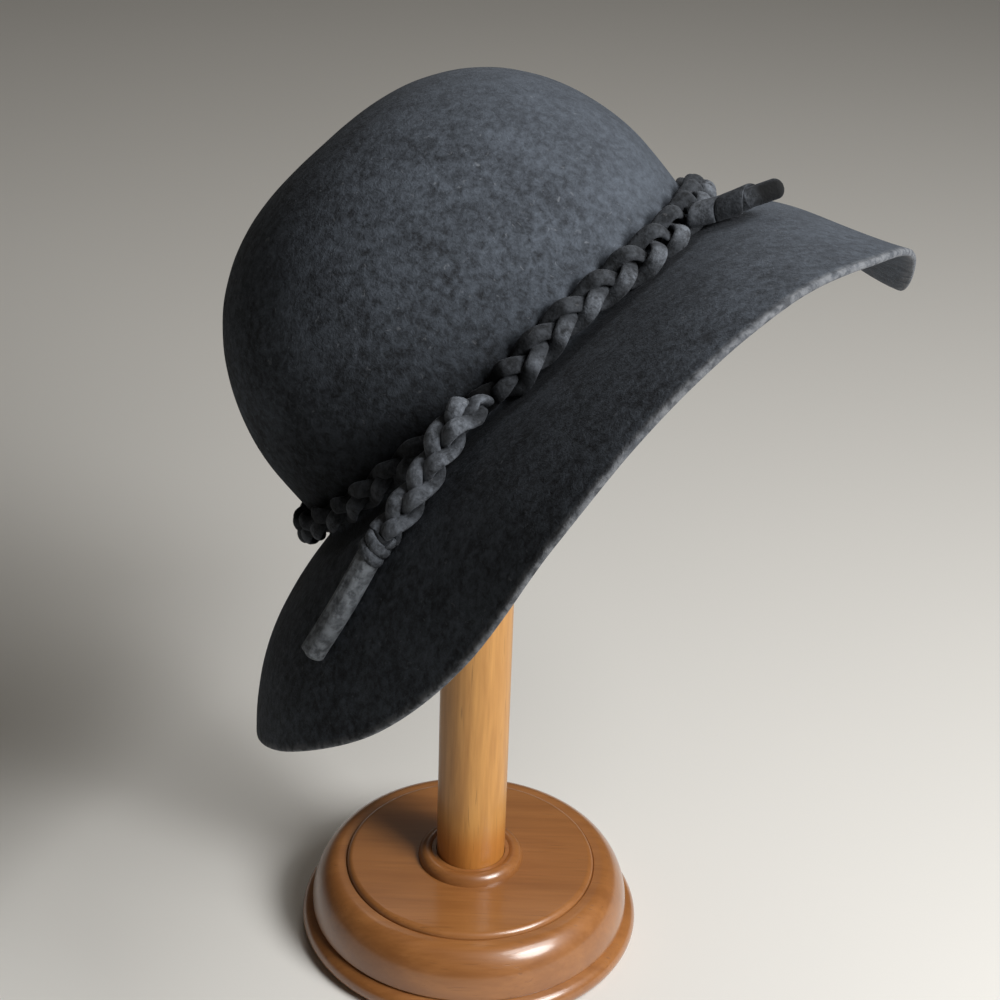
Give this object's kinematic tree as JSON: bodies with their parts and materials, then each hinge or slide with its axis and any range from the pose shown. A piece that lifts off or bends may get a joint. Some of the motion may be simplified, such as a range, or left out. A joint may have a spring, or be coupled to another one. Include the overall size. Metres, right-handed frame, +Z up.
{
  "type": "wide-brim felt hat on a turned wooden hat stand",
  "caption": "Soft wool felt hat with a round crown, a wide drooping brim and a plaited felt band, set at a slant on a turned wooden hat stand.",
  "frame": {"origin": "middle of the stand's flat underside, on the axis of the post", "axes": "+Z up along the post; +X towards the front of the brim, to the right of the picture; +Y away from the viewer"},
  "size_m": [0.2789, 0.3192, 0.4181],
  "materials": {
    "hat_felt": "matte charcoal wool felt with a pale heather",
    "band_felt": "matte charcoal wool felt cut in strands",
    "base_wood": "turned, reddish brown, glossy lacquer",
    "post_wood": "turned, lighter orange oak, satin lacquer"
  },
  "bodies": {
    "root": {"felt_body": "hat_felt", "band_strand_1": "band_felt", "band_strand_2": "band_felt", "band_strand_3": "band_felt", "near_tail_strand_1": "band_felt", "near_tail_strand_2": "band_felt", "near_tail_strand_3": "band_felt", "near_tail_binding": "band_felt", "near_tail_end": "band_felt", "front_tail_binding": "band_felt", "front_tail_end": "band_felt", "stand_base": "base_wood", "stand_post": "post_wood", "stand_top": "post_wood"}
  },
  "joints": []
}
